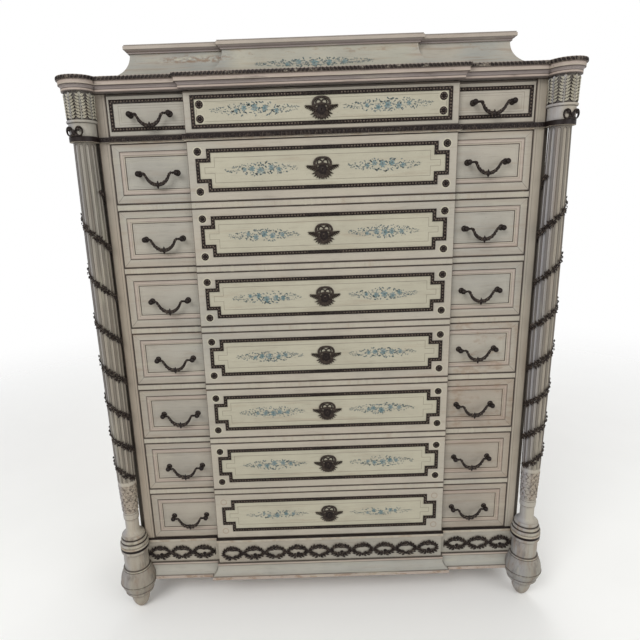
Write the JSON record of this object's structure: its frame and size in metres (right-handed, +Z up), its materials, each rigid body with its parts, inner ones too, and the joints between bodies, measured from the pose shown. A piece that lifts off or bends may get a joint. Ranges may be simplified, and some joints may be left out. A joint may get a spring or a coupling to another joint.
{
  "type": "semainier chest of drawers",
  "caption": "Tall painted chest of drawers with a forward-standing centre, fluted corner columns on turned feet, moulded cornice, coved crown and bronze bail pulls",
  "frame": {"origin": "on the floor under the middle of the whole chest", "axes": "+X to the right seen from the front, +Y to the back, +Z up"},
  "size_m": [1.2368, 0.5475, 1.521],
  "materials": {
    "painted_wood": "worn cream and grey-green paint with pinkish mouldings",
    "bare_wood": "unpainted aged softwood",
    "bronze": "dark patinated bronze"
  },
  "bodies": {
    "carcass": {"side_left": "painted_wood", "side_right": "painted_wood", "back_panel": "bare_wood", "top_board": "painted_wood", "bottom_board": "bare_wood", "dust_boards": "bare_wood", "drawer_guides": "bare_wood", "stiles_and_rails": "painted_wood", "cornice": "painted_wood", "crown_cove": "painted_wood", "crown_cap": "painted_wood", "capitals": "painted_wood", "column_shafts": "painted_wood", "column_bows": "bronze", "front_feet": "painted_wood", "rear_feet": "painted_wood", "plinth": "painted_wood", "plinth_band": "bronze", "plinth_wreaths": "bronze", "waist_moulding": "bronze"},
    "drawer_1": {"drawer_1_front": "painted_wood", "drawer_1_box": "bare_wood", "drawer_1_mounts": "bronze"},
    "drawer_1_bail_left": {"drawer_1_bail_left": "bronze"},
    "drawer_1_bail_right": {"drawer_1_bail_right": "bronze"},
    "drawer_2": {"drawer_2_front": "painted_wood", "drawer_2_box": "bare_wood", "drawer_2_mounts": "bronze"},
    "drawer_2_bail_left": {"drawer_2_bail_left": "bronze"},
    "drawer_2_bail_right": {"drawer_2_bail_right": "bronze"},
    "drawer_3": {"drawer_3_front": "painted_wood", "drawer_3_box": "bare_wood", "drawer_3_mounts": "bronze"},
    "drawer_3_bail_left": {"drawer_3_bail_left": "bronze"},
    "drawer_3_bail_right": {"drawer_3_bail_right": "bronze"},
    "drawer_4": {"drawer_4_front": "painted_wood", "drawer_4_box": "bare_wood", "drawer_4_mounts": "bronze"},
    "drawer_4_bail_left": {"drawer_4_bail_left": "bronze"},
    "drawer_4_bail_right": {"drawer_4_bail_right": "bronze"},
    "drawer_5": {"drawer_5_front": "painted_wood", "drawer_5_box": "bare_wood", "drawer_5_mounts": "bronze"},
    "drawer_5_bail_left": {"drawer_5_bail_left": "bronze"},
    "drawer_5_bail_right": {"drawer_5_bail_right": "bronze"},
    "drawer_6": {"drawer_6_front": "painted_wood", "drawer_6_box": "bare_wood", "drawer_6_mounts": "bronze"},
    "drawer_6_bail_left": {"drawer_6_bail_left": "bronze"},
    "drawer_6_bail_right": {"drawer_6_bail_right": "bronze"},
    "drawer_7": {"drawer_7_front": "painted_wood", "drawer_7_box": "bare_wood", "drawer_7_mounts": "bronze"},
    "drawer_7_bail_left": {"drawer_7_bail_left": "bronze"},
    "drawer_7_bail_right": {"drawer_7_bail_right": "bronze"},
    "drawer_8": {"drawer_8_front": "painted_wood", "drawer_8_box": "bare_wood", "drawer_8_mounts": "bronze"},
    "drawer_8_bail_left": {"drawer_8_bail_left": "bronze"},
    "drawer_8_bail_right": {"drawer_8_bail_right": "bronze"}
  },
  "joints": [
    {"name": "drawer_1_slide", "type": "slide", "parent": "carcass", "child": "drawer_1", "axis": [0, -1, 0], "range_m": [0, 0.35]},
    {"name": "drawer_1_bail_left_hinge", "type": "hinge", "parent": "drawer_1", "child": "drawer_1_bail_left", "pos_m": [-0.408, -0.22425, 1.368], "axis": [-1, 0, 0], "range_deg": [-25, 150]},
    {"name": "drawer_1_bail_right_hinge", "type": "hinge", "parent": "drawer_1", "child": "drawer_1_bail_right", "pos_m": [0.408, -0.22425, 1.368], "axis": [-1, 0, 0], "range_deg": [-25, 150]},
    {"name": "drawer_2_slide", "type": "slide", "parent": "carcass", "child": "drawer_2", "axis": [0, -1, 0], "range_m": [0, 0.35]},
    {"name": "drawer_2_bail_left_hinge", "type": "hinge", "parent": "drawer_2", "child": "drawer_2_bail_left", "pos_m": [-0.401, -0.22425, 1.233], "axis": [-1, 0, 0], "range_deg": [-25, 150]},
    {"name": "drawer_2_bail_right_hinge", "type": "hinge", "parent": "drawer_2", "child": "drawer_2_bail_right", "pos_m": [0.401, -0.22425, 1.233], "axis": [-1, 0, 0], "range_deg": [-25, 150]},
    {"name": "drawer_3_slide", "type": "slide", "parent": "carcass", "child": "drawer_3", "axis": [0, -1, 0], "range_m": [0, 0.35]},
    {"name": "drawer_3_bail_left_hinge", "type": "hinge", "parent": "drawer_3", "child": "drawer_3_bail_left", "pos_m": [-0.401, -0.22425, 1.075], "axis": [-1, 0, 0], "range_deg": [-25, 150]},
    {"name": "drawer_3_bail_right_hinge", "type": "hinge", "parent": "drawer_3", "child": "drawer_3_bail_right", "pos_m": [0.401, -0.22425, 1.075], "axis": [-1, 0, 0], "range_deg": [-25, 150]},
    {"name": "drawer_4_slide", "type": "slide", "parent": "carcass", "child": "drawer_4", "axis": [0, -1, 0], "range_m": [0, 0.35]},
    {"name": "drawer_4_bail_left_hinge", "type": "hinge", "parent": "drawer_4", "child": "drawer_4_bail_left", "pos_m": [-0.401, -0.22425, 0.917], "axis": [-1, 0, 0], "range_deg": [-25, 150]},
    {"name": "drawer_4_bail_right_hinge", "type": "hinge", "parent": "drawer_4", "child": "drawer_4_bail_right", "pos_m": [0.401, -0.22425, 0.917], "axis": [-1, 0, 0], "range_deg": [-25, 150]},
    {"name": "drawer_5_slide", "type": "slide", "parent": "carcass", "child": "drawer_5", "axis": [0, -1, 0], "range_m": [0, 0.35]},
    {"name": "drawer_5_bail_left_hinge", "type": "hinge", "parent": "drawer_5", "child": "drawer_5_bail_left", "pos_m": [-0.401, -0.22425, 0.759], "axis": [-1, 0, 0], "range_deg": [-25, 150]},
    {"name": "drawer_5_bail_right_hinge", "type": "hinge", "parent": "drawer_5", "child": "drawer_5_bail_right", "pos_m": [0.401, -0.22425, 0.759], "axis": [-1, 0, 0], "range_deg": [-25, 150]},
    {"name": "drawer_6_slide", "type": "slide", "parent": "carcass", "child": "drawer_6", "axis": [0, -1, 0], "range_m": [0, 0.35]},
    {"name": "drawer_6_bail_left_hinge", "type": "hinge", "parent": "drawer_6", "child": "drawer_6_bail_left", "pos_m": [-0.401, -0.22425, 0.601], "axis": [-1, 0, 0], "range_deg": [-25, 150]},
    {"name": "drawer_6_bail_right_hinge", "type": "hinge", "parent": "drawer_6", "child": "drawer_6_bail_right", "pos_m": [0.401, -0.22425, 0.601], "axis": [-1, 0, 0], "range_deg": [-25, 150]},
    {"name": "drawer_7_slide", "type": "slide", "parent": "carcass", "child": "drawer_7", "axis": [0, -1, 0], "range_m": [0, 0.35]},
    {"name": "drawer_7_bail_left_hinge", "type": "hinge", "parent": "drawer_7", "child": "drawer_7_bail_left", "pos_m": [-0.401, -0.22425, 0.443], "axis": [-1, 0, 0], "range_deg": [-25, 150]},
    {"name": "drawer_7_bail_right_hinge", "type": "hinge", "parent": "drawer_7", "child": "drawer_7_bail_right", "pos_m": [0.401, -0.22425, 0.443], "axis": [-1, 0, 0], "range_deg": [-25, 150]},
    {"name": "drawer_8_slide", "type": "slide", "parent": "carcass", "child": "drawer_8", "axis": [0, -1, 0], "range_m": [0, 0.35]},
    {"name": "drawer_8_bail_left_hinge", "type": "hinge", "parent": "drawer_8", "child": "drawer_8_bail_left", "pos_m": [-0.401, -0.22425, 0.285], "axis": [-1, 0, 0], "range_deg": [-25, 150]},
    {"name": "drawer_8_bail_right_hinge", "type": "hinge", "parent": "drawer_8", "child": "drawer_8_bail_right", "pos_m": [0.401, -0.22425, 0.285], "axis": [-1, 0, 0], "range_deg": [-25, 150]}
  ]
}
